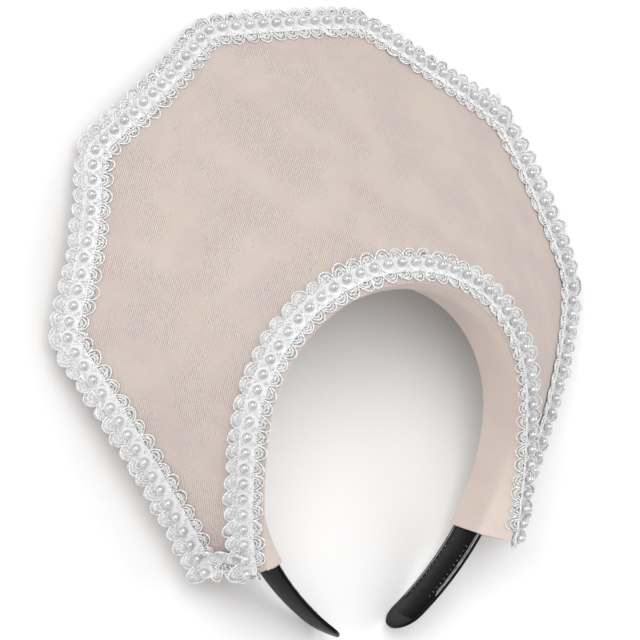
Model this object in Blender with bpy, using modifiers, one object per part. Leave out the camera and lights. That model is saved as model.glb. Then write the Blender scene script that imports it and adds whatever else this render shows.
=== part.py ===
"""Crown headpiece: a fabric covered board that sweeps back from an arch for the face, edged with
pearl braid, on a plastic headband that runs inside a fabric sleeve behind the arch.

All sizes are metres. The piece is drawn as it is worn, X to the wearer's left, Y to the back and
Z up, with the top pearl of the arch at the origin. One empty then lays it on its back.
"""
import math

import bmesh
import bpy
import numpy as np
from mathutils import Matrix, Vector

# Arch of the board, along the middle of its braid
ARCH_RADIUS = 0.0629
ARCH_TURN = math.radians(84.9)
ARCH_LEG_RADIUS = 0.198
ARCH_HALF = 0.154
ARCH_PEARLS = 51

# Sweep of the board back from the arch's plane, in degrees, by distance along the arch
SWEEP = {0.000: 51.6, 0.050: 46.6, 0.100: 38.9, 0.154: 63.0}
SWEEP_BLEND = 0.060

# Board
BOARD_THICK = 0.0020
BOARD_INSIDE = 0.0072
BOARD_MARGIN = 0.0062
BOARD_COLUMN = 0.0050
FOOT_CUT = 0.0050

# Outer braid's corners: distance along the arch from its top, distance out along the board
OUTLINE = {
    "top": (0.0156, 0.1228),
    "shoulder": (0.0475, 0.1045),
    "side": (0.0811, 0.0759),
    "foot": (0.1540, 0.0180),
}
# How far the edge that ends at each corner bows in, and the pearls along it
EDGE_BOW = {"top": 0.0010, "shoulder": 0.0029, "side": 0.0037, "foot": 0.0042}
EDGE_PEARLS = {"top": 6.0, "shoulder": 13.0, "side": 12.0, "foot": 17.5}
CORNER_SOFT = 0.010

# Braid and its pearls
BRAID_LIFT = 0.00035
BRAID_EDGE = 0.00110
BRAID_TOP = 0.00125
BRAID_VALLEY = 0.0060
BRAID_PEAK = 0.0076
PEARL_RADIUS = 0.0021
PEARL_SHOULDER = 0.00175
PEARL_SHOULDER_HIGH = 0.00415
PEARL_SIDES = 10
PEARL_HIGH = 0.0051

# Headband: a strip on three arcs from its top, whose width slopes down to the back
BAND_SLOPE = math.radians(7.5)
BAND_MIDDLE = (0.0127, -0.0086)
BAND_WIDTH = 0.0196
BAND_THICK = 0.0016
BAND_RIM = 0.0003
BAND_RIM_WIDTH = 0.0012
BAND_ARCS = (
    (0.0602, math.radians(95.0)),
    (0.0912, math.radians(26.2)),
    (0.1194, math.radians(24.2)),
)
BAND_STEP = math.radians(7.5)
BAND_TIP = 0.0085
BAND_FILLET = 0.0002

# Fabric sleeve around the headband, and its flange behind the board
SLEEVE_WALL = 0.0012
SLEEVE_PLAY = 0.00035
SLEEVE_HALF = 0.1400
SLEEVE_FRONT = 0.1490
SLEEVE_CREST = 0.4
SLEEVE_STATIONS = 42
FLANGE_GAP = 0.00035
FLANGE_INNER = -0.0066
FLANGE_OUTER = -0.0024


def running(values, step):
    """Running integral of values taken every step."""
    middle = (values[1:] + values[:-1]) / 2
    return np.concatenate([[0.0], np.cumsum(middle) * step])


def blend(values, reach):
    """Each value becomes the mean of its neighbours within half the reach."""
    half = max(1, int(round(reach / 2)))
    padded = np.pad(values, half, mode="reflect")
    return np.convolve(padded, np.full(2 * half + 1, 1 / (2 * half + 1)), mode="valid")


class Board:
    """The board's surface: drawn flat as u, v and bent round the arch."""

    def __init__(self):
        self.s = np.linspace(0.0, 0.185, 741)
        step = self.s[1]
        bend = np.where(self.s < ARCH_RADIUS * ARCH_TURN, 1 / ARCH_RADIUS, 1 / ARCH_LEG_RADIUS)
        self.sweep = np.radians(blend(np.interp(self.s, *zip(*SWEEP.items())), SWEEP_BLEND / step))
        self.turn = running(bend, step)
        self.x = running(np.cos(self.turn), step)
        self.z = -running(np.sin(self.turn), step)
        self.flat_turn = running(bend * np.cos(self.sweep), step)
        self.u = running(np.cos(self.flat_turn), step)
        self.v = -running(np.sin(self.flat_turn), step)

    def at(self, name, s):
        return np.interp(s, self.s, getattr(self, name))

    def flat(self, s, t):
        """Flat place of the point t out from the arch at s along it."""
        turn = self.at("flat_turn", s)
        return np.array([self.at("u", s) + t * np.sin(turn), self.at("v", s) + t * np.cos(turn)])

    def along(self, point):
        """The s and t of one flat point."""
        side = 1.0 if point[0] >= 0 else -1.0
        du = abs(point[0]) - self.u
        dv = point[1] - self.v
        ahead = du * np.cos(self.flat_turn) - dv * np.sin(self.flat_turn)
        s = np.interp(0.0, -ahead, self.s)
        turn = self.at("flat_turn", s)
        out = (abs(point[0]) - self.at("u", s)) * np.sin(turn) + (point[1] - self.at("v", s)) * np.cos(turn)
        return side * s, out

    def solid(self, s, t, height=0.0):
        """Place in space of the point t out from the arch at s, height above the front face."""
        side = 1.0 if s >= 0 else -1.0
        turn = self.at("turn", abs(s))
        sweep = self.at("sweep", abs(s))
        out = t * math.cos(sweep) + height * math.sin(sweep)
        back = t * math.sin(sweep) - height * math.cos(sweep)
        x = self.at("x", abs(s)) + out * math.sin(turn)
        z = self.at("z", abs(s)) + out * math.cos(turn)
        return Vector((side * x, back, z))

    def wrap(self, point, height):
        """Place in space of a flat point, height above the front face."""
        s, t = self.along(point)
        return self.solid(s, t, height)


BOARD = Board()


def soften(points, reach):
    """A path of equal steps with its corners rounded: each point becomes its neighbours' mean."""
    step = np.linalg.norm(points[1] - points[0])
    half = max(1, int(round(reach / 2 / step)))
    padded = np.pad(points, ((half, half), (0, 0)), mode="reflect", reflect_type="odd")
    return np.array([padded[i:i + 2 * half + 1].mean(axis=0) for i in range(len(points))])


def distances(points):
    """Distance of each point from the first, along the path."""
    legs = np.linalg.norm(np.diff(points, axis=0), axis=1)
    return np.concatenate([[0.0], np.cumsum(legs)])


def places_on(points, wanted):
    """The points of a path at the wanted distances along it."""
    run = distances(points)
    return np.stack([np.interp(wanted, run, points[:, k]) for k in range(2)], axis=1)


def resample(points, count):
    """The same path as count points at equal distances."""
    return places_on(points, np.linspace(0.0, distances(points)[-1], count))


def outline_path():
    """Flat middle line of the outer braid, from the right foot over the top to the left foot."""
    corners = [BOARD.flat(*OUTLINE[name]) for name in OUTLINE]
    half = []
    for part in np.linspace(0.0, 1.0, 30):
        half.append([corners[0][0] * part, corners[0][1] - EDGE_BOW["top"] * (1 - part ** 2)])
    for start, end, name in zip(corners, corners[1:], list(OUTLINE)[1:]):
        run = end - start
        inward = np.array([run[1], -run[0]]) / np.linalg.norm(run)
        for part in np.linspace(0.0, 1.0, 60)[1:]:
            half.append(start + run * part + inward * 4 * EDGE_BOW[name] * part * (1 - part))
    half = np.array(half)
    mirrored = half[::-1] * np.array([-1.0, 1.0])
    return soften(resample(np.concatenate([mirrored[:-1], half]), 1201), CORNER_SOFT)


def outline_pearls(path):
    """Distances along the outer path of a point every eighth of a pearl's room."""
    run = distances(path)
    top = run[-1] / 2
    marks, reached = [0.0], [0.0]
    for name, (s, t) in OUTLINE.items():
        nearest = np.argmin(np.linalg.norm(path - BOARD.flat(s, t), axis=1))
        marks.append(marks[-1] + EDGE_PEARLS[name])
        reached.append(run[-1] - top if name == "foot" else run[nearest] - top)
    steps = np.linspace(-marks[-1], marks[-1], int(round(16 * marks[-1])) + 1)
    return top + np.sign(steps) * np.interp(np.abs(steps), marks, reached)


def arch_path():
    """Flat middle line of the arch's braid."""
    half = np.array([BOARD.flat(s, 0.0) for s in np.linspace(0.0, ARCH_HALF - 0.001, 300)])
    mirrored = half[::-1] * np.array([-1.0, 1.0])
    return np.concatenate([mirrored[:-1], half])


def side_steps(path):
    """Unit vector across the path at each of its points, to the outside of the board."""
    ahead = np.gradient(path, axis=0)
    ahead /= np.linalg.norm(ahead, axis=1)[:, None]
    return np.stack([-ahead[:, 1], ahead[:, 0]], axis=1)


def material(name, colour, roughness, metallic=0.0, coat=0.0):
    made = bpy.data.materials.new(name)
    made.use_nodes = True
    made.diffuse_color = (*colour, 1.0)
    shader = made.node_tree.nodes["Principled BSDF"]
    shader.inputs["Base Color"].default_value = (*colour, 1.0)
    shader.inputs["Roughness"].default_value = roughness
    shader.inputs["Metallic"].default_value = metallic
    shader.inputs["Coat Weight"].default_value = coat
    return made


def add_object(name, bm, look, parts, parent, angle=40.0, closed=True):
    """Makes one named object of a bmesh, with its faces turned out and its edges smoothed."""
    if closed:
        bmesh.ops.recalc_face_normals(bm, faces=bm.faces)
        if bm.calc_volume(signed=True) < 0:
            bmesh.ops.reverse_faces(bm, faces=bm.faces)
    mesh = bpy.data.meshes.new(name)
    bm.to_mesh(mesh)
    bm.free()
    mesh.materials.append(look)
    mesh.shade_smooth()
    mesh.set_sharp_from_angle(angle=math.radians(angle))
    thing = bpy.data.objects.new(name, mesh)
    thing.parent = parent
    parts.objects.link(thing)
    return thing


def bridge(bm, first, second):
    """Faces between two closed rings of as many points."""
    for k in range(len(first)):
        after = (k + 1) % len(first)
        bm.faces.new((first[k], first[after], second[after], second[k]))


def make_board(parts, parent, look):
    """The board: an open half surface, mirrored and thickened to the back."""
    path = outline_path()
    edge = path + side_steps(path) * BOARD_MARGIN
    reached = np.array([BOARD.along(point) for point in edge[len(edge) // 2:]])
    count = int(round(ARCH_HALF / BOARD_COLUMN))
    bm = bmesh.new()
    columns = []
    for s in np.linspace(0.0, ARCH_HALF, count + 1):
        outer = np.interp(s, reached[:, 0], reached[:, 1])
        inner_s = s * (1 - FOOT_CUT / ARCH_HALF)
        arch_s = s * (1 - FOOT_CUT / 3 / ARCH_HALF)
        places = ((inner_s, -BOARD_INSIDE), (arch_s, 0.0), (s, outer / 2), (s, outer))
        columns.append([bm.verts.new(BOARD.solid(*place)) for place in places])
    for left, right in zip(columns, columns[1:]):
        for k in range(3):
            bm.faces.new((left[k], right[k], right[k + 1], left[k + 1]))
    board = add_object("board", bm, look, parts, parent, closed=False)
    mirror = board.modifiers.new("other half", "MIRROR")
    mirror.use_axis = (True, False, False)
    mirror.merge_threshold = 0.0001
    thick = board.modifiers.new("thickness", "SOLIDIFY")
    thick.thickness = BOARD_THICK
    thick.offset = -1.0
    thick.use_even_offset = True
    return board


def make_braid(name, path, steps, parts, parent, look):
    """A scalloped tape with one domed pearl to each pair of scallops, drawn at eight steps a pearl."""
    middle = places_on(path, steps)
    across = side_steps(middle)
    pearls = (len(steps) - 1) // 8
    bm = bmesh.new()

    def place(index, out, height):
        return bm.verts.new(BOARD.wrap(middle[index] + across[index] * out, height))

    ends = []
    for cell in range(pearls + 1):
        at = 8 * cell
        ends.append({
            "left": place(at, BRAID_VALLEY, BRAID_EDGE),
            "mid": place(at, 0.0, BRAID_TOP),
            "right": place(at, -BRAID_VALLEY, BRAID_EDGE),
            "left_low": place(at, BRAID_VALLEY, BRAID_LIFT),
            "right_low": place(at, -BRAID_VALLEY, BRAID_LIFT),
        })
    for cell in range(pearls):
        now, then = ends[cell], ends[cell + 1]
        at = 8 * cell
        left = [place(at + 2, BRAID_PEAK, BRAID_EDGE), place(at + 6, BRAID_PEAK, BRAID_EDGE)]
        right = [place(at + 2, -BRAID_PEAK, BRAID_EDGE), place(at + 6, -BRAID_PEAK, BRAID_EDGE)]
        border = [now["mid"], now["left"], left[0], left[1], then["left"],
                  then["mid"], then["right"], right[1], right[0], now["right"]]
        centre = middle[at + 4]
        ahead = np.array([across[at + 4][1], -across[at + 4][0]])
        rings = []
        for radius, height in ((PEARL_RADIUS, BRAID_TOP), (PEARL_SHOULDER, PEARL_SHOULDER_HIGH)):
            ring = []
            for side in range(PEARL_SIDES):
                angle = 2 * math.pi * side / PEARL_SIDES
                spot = centre - ahead * radius * math.cos(angle) + across[at + 4] * radius * math.sin(angle)
                ring.append(bm.verts.new(BOARD.wrap(spot, height)))
            rings.append(ring)
        crown = bm.verts.new(BOARD.wrap(centre, PEARL_HIGH))
        bridge(bm, border, rings[0])
        bridge(bm, rings[0], rings[1])
        for k in range(PEARL_SIDES):
            bm.faces.new((rings[1][k], rings[1][(k + 1) % PEARL_SIDES], crown))
        bm.faces.new((now["left_low"], then["left_low"], then["left"], left[1], left[0], now["left"]))
        bm.faces.new((then["right_low"], now["right_low"], now["right"], right[0], right[1], then["right"]))
        bm.faces.new((now["right_low"], then["right_low"], then["left_low"], now["left_low"]))
    for last in (ends[0], ends[-1]):
        bm.faces.new((last["left_low"], last["left"], last["mid"], last["right"], last["right_low"]))
    return add_object(name, bm, look, parts, parent, 50.0)


class Headband:
    """The strip's middle line and the directions across it."""

    def __init__(self):
        self.length = sum(radius * turn for radius, turn in BAND_ARCS)
        self.back = Vector((0.0, math.cos(BAND_SLOPE), -math.sin(BAND_SLOPE)))
        self.middle = Vector((0.0, *BAND_MIDDLE))

    def place(self, run, out, back):
        """Point run along from the top, out from the middle line, back across the width."""
        side = 1.0 if run >= 0 else -1.0
        left = abs(run)
        x, z, heading = 0.0, 0.0, 0.0
        for radius, turn in BAND_ARCS:
            used = min(left / radius, turn)
            x += radius * (math.sin(heading + used) - math.sin(heading))
            z += radius * (math.cos(heading + used) - math.cos(heading))
            heading += used
            left -= used * radius
        x += out * math.sin(heading)
        z += out * math.cos(heading)
        return self.middle + Vector((side * x, 0.0, z)) + self.back * back

    def stations(self):
        """Distances from the top to the tip with the half width at each, closer at the tip."""
        rows = []
        start = 0.0
        for number, (radius, turn) in enumerate(BAND_ARCS):
            steps = max(2, int(round(turn / BAND_STEP)))
            end = start + radius * turn
            if number == len(BAND_ARCS) - 1:
                end -= BAND_TIP
            for step in range(steps):
                rows.append((start + (end - start) * step / steps, BAND_WIDTH / 2))
            start = end
        for step in range(5):
            angle = math.radians(90.0 * step / 4.4)
            run = start + BAND_TIP * math.sin(angle)
            half = BAND_WIDTH / 2 - BAND_TIP * (1 - math.cos(angle))
            rows.append((run, half))
        return rows


def make_headband(band, parts, parent, look):
    """The strip: one section with a raised rim along both edges of its inner face."""
    half = band.stations()
    rows = [(-run, width) for run, width in reversed(half[1:])] + half
    bm = bmesh.new()
    rings = []
    for run, width in rows:
        outer = BAND_THICK / 2
        rim = -outer - BAND_RIM
        inner = width - BAND_RIM_WIDTH
        section = ((outer, -width), (outer, width), (rim, width), (rim, inner),
                   (-outer, inner - BAND_FILLET), (-outer, -inner + BAND_FILLET), (rim, -inner), (rim, -width))
        rings.append([bm.verts.new(band.place(run, out, back)) for out, back in section])
    for first, second in zip(rings, rings[1:]):
        bridge(bm, first, second)
    bm.faces.new(rings[0])
    bm.faces.new(list(reversed(rings[-1])))
    return add_object("headband", bm, look, parts, parent, 30.0)


def make_sleeve(band, parts, parent, look):
    """The fabric sleeve: an open tube round the headband with a flange behind the board."""
    outer = BAND_THICK / 2 + SLEEVE_PLAY
    inner = BAND_THICK / 2 + BAND_RIM + SLEEVE_PLAY
    end = BAND_WIDTH / 2 + SLEEVE_PLAY
    skin = SLEEVE_WALL
    depth = -BOARD_THICK - FLANGE_GAP
    bm = bmesh.new()
    shells, hollows = [], []
    for run in np.linspace(-SLEEVE_HALF, SLEEVE_HALF, SLEEVE_STATIONS):
        s = run * SLEEVE_FRONT / SLEEVE_HALF
        shell = [
            BOARD.solid(s, FLANGE_INNER, depth),
            BOARD.solid(s, FLANGE_OUTER, depth),
            band.place(run, outer + skin, -end),
            band.place(run, outer + skin, end + skin * SLEEVE_CREST),
            band.place(run, 0.0, end + skin),
            band.place(run, -inner - skin, end + skin * SLEEVE_CREST),
            band.place(run, -inner - skin, -end),
        ]
        hollow = [
            band.place(run, -SLEEVE_PLAY, -end),
            band.place(run, SLEEVE_PLAY, -end),
            band.place(run, outer, -end),
            band.place(run, outer, end),
            band.place(run, 0.0, end),
            band.place(run, -inner, end),
            band.place(run, -inner, -end),
        ]
        shells.append([bm.verts.new(spot) for spot in shell])
        hollows.append([bm.verts.new(spot) for spot in hollow])
    for first, second in zip(shells, shells[1:]):
        bridge(bm, first, second)
    for first, second in zip(hollows, hollows[1:]):
        bridge(bm, first, second)
    bridge(bm, shells[0], hollows[0])
    bridge(bm, shells[-1], hollows[-1])
    return add_object("sleeve", bm, look, parts, parent)


def lie_down(rest):
    """Turns and moves the empty so that the piece lies on its back, centred on the origin.

    It rests on the top edge of the board and on the tips of the headband, which are level.
    """
    spots = np.array([spot.co for piece in rest.children for spot in piece.data.vertices])
    spots = np.concatenate([spots, board_points(rest)])
    above = spots[:, 2] > BAND_MIDDLE[1]
    low, high = math.radians(45.0), math.radians(90.0)
    for _ in range(40):
        tilt = (low + high) / 2
        height = -spots[:, 1] * math.sin(tilt) + spots[:, 2] * math.cos(tilt)
        if height[above].min() < height[~above].min():
            high = tilt
        else:
            low = tilt
    rest.rotation_euler = (-tilt, 0.0, 0.0)
    placed = spots @ np.array(Matrix.Rotation(-tilt, 3, "X")).T
    centre = (placed.min(axis=0) + placed.max(axis=0)) / 2
    rest.location = (-centre[0], -centre[1], -placed[:, 2].min())


def board_points(rest):
    """Points of the whole board, with its other half and its thickness."""
    board = next(piece for piece in rest.children if piece.name == "board")
    evaluated = board.evaluated_get(bpy.context.evaluated_depsgraph_get())
    mesh = evaluated.to_mesh()
    spots = np.array([spot.co for spot in mesh.vertices])
    evaluated.to_mesh_clear()
    return spots


def main():
    for thing in list(bpy.data.objects):
        bpy.data.objects.remove(thing)
    parts = bpy.data.collections.new("crown_headpiece")
    bpy.context.scene.collection.children.link(parts)
    rest = bpy.data.objects.new("rest", None)
    parts.objects.link(rest)
    fabric = material("fabric", (0.66, 0.58, 0.53), 0.75)
    braid = material("braid", (0.82, 0.82, 0.80), 0.45)
    plastic = material("plastic", (0.012, 0.012, 0.013), 0.25, coat=0.3)
    band = Headband()
    make_board(parts, rest, fabric)
    make_sleeve(band, parts, rest, fabric)
    make_headband(band, parts, rest, plastic)
    outer, arch = outline_path(), arch_path()
    make_braid("outer_braid", outer, outline_pearls(outer), parts, rest, braid)
    arch_steps = np.linspace(0.0, distances(arch)[-1], 8 * ARCH_PEARLS + 1)
    make_braid("arch_braid", arch, arch_steps, parts, rest, braid)
    lie_down(rest)


main()
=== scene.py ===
"""Looks of the crown headpiece: covered board, pearl braid, fabric sleeve and plastic headband."""
import math
import random

import bmesh
import bpy
import numpy as np
from bpy.props import FloatProperty, FloatVectorProperty, IntProperty, PointerProperty
from mathutils import Matrix, Vector


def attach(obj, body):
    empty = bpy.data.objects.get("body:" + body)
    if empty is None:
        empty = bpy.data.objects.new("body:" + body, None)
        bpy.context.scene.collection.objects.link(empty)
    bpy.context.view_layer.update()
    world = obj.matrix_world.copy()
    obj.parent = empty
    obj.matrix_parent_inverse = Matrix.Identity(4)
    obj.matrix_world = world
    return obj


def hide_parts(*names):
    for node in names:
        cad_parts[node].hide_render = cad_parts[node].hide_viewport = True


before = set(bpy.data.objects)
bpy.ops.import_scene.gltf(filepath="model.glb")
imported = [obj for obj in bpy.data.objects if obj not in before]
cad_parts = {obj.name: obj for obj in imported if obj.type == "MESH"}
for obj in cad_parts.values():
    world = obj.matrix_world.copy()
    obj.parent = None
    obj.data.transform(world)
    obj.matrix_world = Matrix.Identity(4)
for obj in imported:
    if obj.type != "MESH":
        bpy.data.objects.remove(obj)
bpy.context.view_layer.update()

bl_info = {
    "name": "Crown headpiece",
    "version": (1, 0, 0),
    "blender": (4, 5, 0),
    "location": "View3D > Sidebar > Crown",
    "description": "Builds the cloth, braid, pearls and plastic of a crown headpiece",
    "category": "Add Mesh",
}

MM = 0.001

# Points of a rolled up grid nearer than this are one
SEAM = 0.01 * MM

# The crown lies on its back: it is drawn as worn, then turned and shifted by these
REST_TILT = math.radians(71.1076)
REST_SHIFT = Vector((0.0, 0.014924, 0.068748))

# Arch of the board, along the middle of its braid, which ends a little short of the arch's ends
ARCH_RADIUS = 0.0629
ARCH_TURN = math.radians(84.9)
ARCH_LEG_RADIUS = 0.198
ARCH_HALF = 0.154
ARCH_END = 0.001
ARCH_PEARLS = 51

# Sweep of the board back from the arch's plane, in degrees, by distance along the arch
SWEEP = {0.000: 51.6, 0.050: 46.6, 0.100: 38.9, 0.154: 63.0}
SWEEP_BLEND = 0.060

# Board: its thickness, its reach inside the arch's braid and past the middle of the outer braid,
# and how much of a foot is cut off level
BOARD_THICK = 0.0020
BOARD_INSIDE = 0.0072
BOARD_MARGIN = 0.0062
FOOT_CUT = 0.0050

# Outer braid's corners: distance along the arch from its top, distance out along the board.
# Each edge bows inward and holds its number of pearls, counted from the middle of the top.
OUTLINE = {
    "top": (0.0156, 0.1228),
    "shoulder": (0.0475, 0.1045),
    "side": (0.0811, 0.0759),
    "foot": (0.1540, 0.0180),
}
EDGE_BOW = {"top": 0.0010, "shoulder": 0.0029, "side": 0.0037, "foot": 0.0042}
EDGE_PEARLS = {"top": 6.0, "shoulder": 13.0, "side": 12.0, "foot": 17.5}
CORNER_SOFT = 0.010

# Headband: a strip on three arcs from its top, whose width slopes down to the back
BAND_SLOPE = math.radians(7.5)
BAND_MIDDLE = (0.0127, -0.0086)
BAND_WIDTH = 0.0196
BAND_THICK = 0.0016
BAND_RIM = 0.0003
BAND_ARCS = (
    (0.0602, math.radians(95.0)),
    (0.0912, math.radians(26.2)),
    (0.1194, math.radians(24.2)),
)

# Fabric sleeve: wall, play round the headband, half lengths along the headband and along the board,
# and where the fold behind the board ends
SLEEVE_WALL = 0.0012
SLEEVE_PLAY = 0.00035
SLEEVE_HALF = 0.1400
SLEEVE_FRONT = 0.1490
FLANGE_OUTER = -0.0024


def running(values, step):
    """Running integral of values taken every step."""
    middle = (values[1:] + values[:-1]) / 2
    return np.concatenate([[0.0], np.cumsum(middle) * step])


def blend(values, reach):
    """Each value becomes the mean of its neighbours within half the reach."""
    half = max(1, int(round(reach / 2)))
    padded = np.pad(values, half, mode="reflect")
    return np.convolve(padded, np.full(2 * half + 1, 1 / (2 * half + 1)), mode="valid")


class Board:
    """The board's surface as the part has it: drawn flat as u, v and bent round the arch."""

    reach = 0.185
    stations = 741

    def __init__(self):
        self.s = np.linspace(0.0, self.reach, self.stations)
        step = self.s[1]
        bend = np.where(self.s < ARCH_RADIUS * ARCH_TURN, 1 / ARCH_RADIUS, 1 / ARCH_LEG_RADIUS)
        self.sweep = np.radians(blend(np.interp(self.s, *zip(*SWEEP.items())), SWEEP_BLEND / step))
        self.turn = running(bend, step)
        self.x = running(np.cos(self.turn), step)
        self.z = -running(np.sin(self.turn), step)
        self.flat_turn = running(bend * np.cos(self.sweep), step)
        self.u = running(np.cos(self.flat_turn), step)
        self.v = -running(np.sin(self.flat_turn), step)

    def at(self, name, s):
        """One of the surface's values at distances along the arch."""
        return np.interp(np.abs(s), self.s, getattr(self, name))

    def flat(self, s, t):
        """Flat places of the points t out from the arch at s along it."""
        side = np.where(np.asarray(s) >= 0, 1.0, -1.0)
        turn = self.at("flat_turn", s)
        u = side * (self.at("u", s) + t * np.sin(turn))
        return np.stack([u, self.at("v", s) + t * np.cos(turn)], axis=-1)

    def along(self, points):
        """The s and t of flat points."""
        side = np.where(points[:, 0] >= 0, 1.0, -1.0)
        across = np.abs(points[:, 0])
        ahead = ((across[:, None] - self.u) * np.cos(self.flat_turn)
                 - (points[:, 1][:, None] - self.v) * np.sin(self.flat_turn))
        after = np.clip(np.argmax(ahead < 0, axis=1), 1, len(self.s) - 1)
        rows = np.arange(len(points))
        before, beyond = ahead[rows, after - 1], ahead[rows, after]
        s = self.s[after - 1] + (self.s[after] - self.s[after - 1]) * before / (before - beyond)
        turn = self.at("flat_turn", s)
        t = (across - self.at("u", s)) * np.sin(turn) + (points[:, 1] - self.at("v", s)) * np.cos(turn)
        return side * s, t

    def solid(self, s, t, height):
        """Places in space, as worn, of the points t out from the arch at s, height above the front."""
        side = np.where(np.asarray(s) >= 0, 1.0, -1.0)
        turn, sweep = self.at("turn", s), self.at("sweep", s)
        out = t * np.cos(sweep) + height * np.sin(sweep)
        back = t * np.sin(sweep) - height * np.cos(sweep)
        x = self.at("x", s) + out * np.sin(turn)
        z = self.at("z", s) + out * np.cos(turn)
        return np.stack([side * x, back, z], axis=-1)

    def wrap(self, points, height):
        """Places in space of flat points, height above the front."""
        s, t = self.along(points)
        return self.solid(s, t, height)


BOARD = Board()


def lay(points):
    """Worn places turned and shifted to where the crown lies."""
    turn = np.array(Matrix.Rotation(-REST_TILT, 3, "X"))
    return np.asarray(points) @ turn.T + np.array(REST_SHIFT)


def soften(points, reach):
    """A path of equal steps with its corners rounded: each point becomes its neighbours' mean."""
    step = np.linalg.norm(points[1] - points[0])
    half = max(1, int(round(reach / 2 / step)))
    padded = np.pad(points, ((half, half), (0, 0)), mode="reflect", reflect_type="odd")
    return np.array([padded[i:i + 2 * half + 1].mean(axis=0) for i in range(len(points))])


def distances(points):
    """Distances along a path of its points."""
    legs = np.linalg.norm(np.diff(points, axis=0), axis=1)
    return np.concatenate([[0.0], np.cumsum(legs)])


def read_off(wanted, run, pairs):
    """Pairs that belong to distances along a run, at the wanted distances."""
    return np.stack([np.interp(wanted, run, pairs[:, k]) for k in range(2)], axis=-1)


def evenly(points, count):
    """A flat path again, with count points at equal steps."""
    run = distances(points)
    return read_off(np.linspace(0.0, run[-1], count), run, points)


def across_path(path):
    """Unit directions to the left of a flat path, at each of its points."""
    ahead = np.gradient(path, axis=0)
    ahead /= np.linalg.norm(ahead, axis=1)[:, None]
    return np.stack([-ahead[:, 1], ahead[:, 0]], axis=1)


def outline_path():
    """Flat middle line of the outer braid, from one foot over the top to the other."""
    corners = [BOARD.flat(*OUTLINE[name]) for name in OUTLINE]
    half = []
    for part in np.linspace(0.0, 1.0, 30):
        half.append([corners[0][0] * part, corners[0][1] - EDGE_BOW["top"] * (1 - part ** 2)])
    for start, end, name in zip(corners, corners[1:], list(OUTLINE)[1:]):
        run = end - start
        inward = np.array([run[1], -run[0]]) / np.linalg.norm(run)
        for part in np.linspace(0.0, 1.0, 60)[1:]:
            half.append(start + run * part + inward * 4 * EDGE_BOW[name] * part * (1 - part))
    half = np.array(half)
    path = np.concatenate([half[::-1][:-1] * np.array([-1.0, 1.0]), half])
    return soften(evenly(path, 1201), CORNER_SOFT)


def outline_marks(path):
    """Distances along the outer path of each pearl."""
    run = distances(path)
    top = run[-1] / 2
    marks, reached = [0.0], [0.0]
    for name, (s, t) in OUTLINE.items():
        nearest = np.argmin(np.linalg.norm(path - BOARD.flat(s, t), axis=1))
        marks.append(marks[-1] + EDGE_PEARLS[name])
        reached.append(run[-1] - top if name == "foot" else run[nearest] - top)
    count = int(round(2 * marks[-1]))
    pearls = np.arange(count) + 0.5 - count / 2
    return top + np.sign(pearls) * np.interp(np.abs(pearls), marks, reached)


def arch_path():
    """Flat middle line of the arch's braid."""
    s = np.linspace(-ARCH_HALF + ARCH_END, ARCH_HALF - ARCH_END, 600)
    return BOARD.flat(s, 0.0)


class Braid:
    """One braid's path and, as marks along it, its pearls and scallops."""

    bare_ends = False

    def __init__(self, path, marks):
        self.path = path
        self.run = distances(path)
        self.across = across_path(path)
        self.marks = marks
        gaps = np.diff(marks)
        self.pitch = np.concatenate([[gaps[0]], (gaps[1:] + gaps[:-1]) / 2, [gaps[-1]]])

    def place(self, along, across, height):
        """Where the crown lies, points along the braid, across it and height over the board."""
        along = np.asarray(along, dtype=float)
        middle = read_off(along, self.run, self.path)
        turned = read_off(along, self.run, self.across)
        beyond = along - np.clip(along, self.run[0], self.run[-1])
        ahead = np.stack([turned[:, 1], -turned[:, 0]], axis=-1)
        flat = middle + turned * np.asarray(across)[..., None] + ahead * beyond[:, None]
        return lay(BOARD.wrap(flat, height))

    def station(self, along):
        """Distance along the arch of each place along the braid, without its sign."""
        return np.abs(BOARD.along(np.atleast_2d(read_off(along, self.run, self.path)))[0])


class ArchBraid(Braid):
    """The arch's braid, which on one leg has slipped inward and folds over the board's edge."""

    bare_ends = True
    # How far it has slipped, by signed distance along the arch, in mm
    slip = {35.0: 0.0, 70.0: 1.3, 105.0: 3.4, 130.0: 4.8, 154.0: 4.6}
    fold_radius = 0.8 * MM

    def place(self, along, across, height):
        s, across, height = np.broadcast_arrays(np.asarray(along) - ARCH_HALF + ARCH_END, across, height)
        t = across - np.interp(s / MM, *zip(*self.slip.items())) * MM
        over = np.maximum(0.0, -BOARD_INSIDE - t)
        turn = np.minimum(over / self.fold_radius, math.pi / 2)
        beyond = over - turn * self.fold_radius
        folded_t = np.where(over > 0, -BOARD_INSIDE - height * np.sin(turn), t)
        folded_height = np.where(over > 0, height * np.cos(turn) - beyond, height)
        return lay(BOARD.solid(s, folded_t, folded_height))


class Headband:
    """The strip's middle line and the directions across it, as the part has them."""

    def __init__(self):
        self.length = sum(radius * turn for radius, turn in BAND_ARCS)
        self.back = np.array([0.0, math.cos(BAND_SLOPE), -math.sin(BAND_SLOPE)])
        self.middle = np.array([0.0, *BAND_MIDDLE])

    def place(self, run, out, back):
        """Points run along from the top, out from the middle line, back across the width."""
        run, out, back = np.broadcast_arrays(*(np.asarray(v, dtype=float) for v in (run, out, back)))
        side = np.where(run >= 0, 1.0, -1.0)
        left = np.abs(run)
        x, z, heading = np.zeros(run.shape), np.zeros(run.shape), np.zeros(run.shape)
        for radius, turn in BAND_ARCS:
            used = np.minimum(left / radius, turn)
            x += radius * (np.sin(heading + used) - np.sin(heading))
            z += radius * (np.cos(heading + used) - np.cos(heading))
            heading += used
            left = left - used * radius
        x += out * np.sin(heading)
        z += out * np.cos(heading)
        upright = np.stack([side * x, np.zeros(run.shape), z], axis=-1)
        return self.middle + upright + self.back * back[..., None]


BAND = Headband()


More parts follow.
